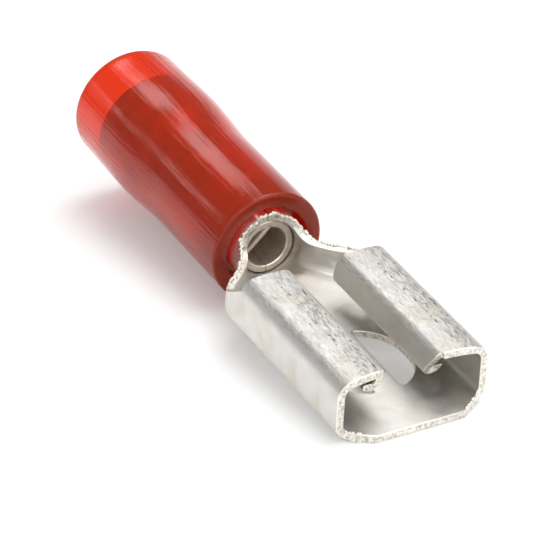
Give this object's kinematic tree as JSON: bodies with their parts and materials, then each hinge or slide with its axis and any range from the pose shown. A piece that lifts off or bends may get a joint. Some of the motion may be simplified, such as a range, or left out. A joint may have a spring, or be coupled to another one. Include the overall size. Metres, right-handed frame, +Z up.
{
  "type": "female spade terminal",
  "caption": "Crimp connector with a rolled receptacle for a flat tab, a round wire barrel and a translucent red nylon sleeve.",
  "frame": {"origin": "on the wire barrel's axis at the barrel's rear end, where the bare wire goes in", "axes": "+X along the barrel toward the receptacle mouth, +Y across the receptacle, +Z up from the floor toward the rolled edges"},
  "size_m": [0.0229, 0.006, 0.005],
  "materials": {
    "red_nylon": "translucent moulded nylon, glossy",
    "grip_metal": "drawn tube, tinned",
    "tinned_brass": "tin-plated strip with sheared edges",
    "liner_metal": "rolled strip, tinned"
  },
  "bodies": {
    "root": {"insulating_sleeve": "red_nylon", "grip_sleeve": "grip_metal", "terminal": "tinned_brass", "barrel_liner": "liner_metal"}
  },
  "joints": []
}
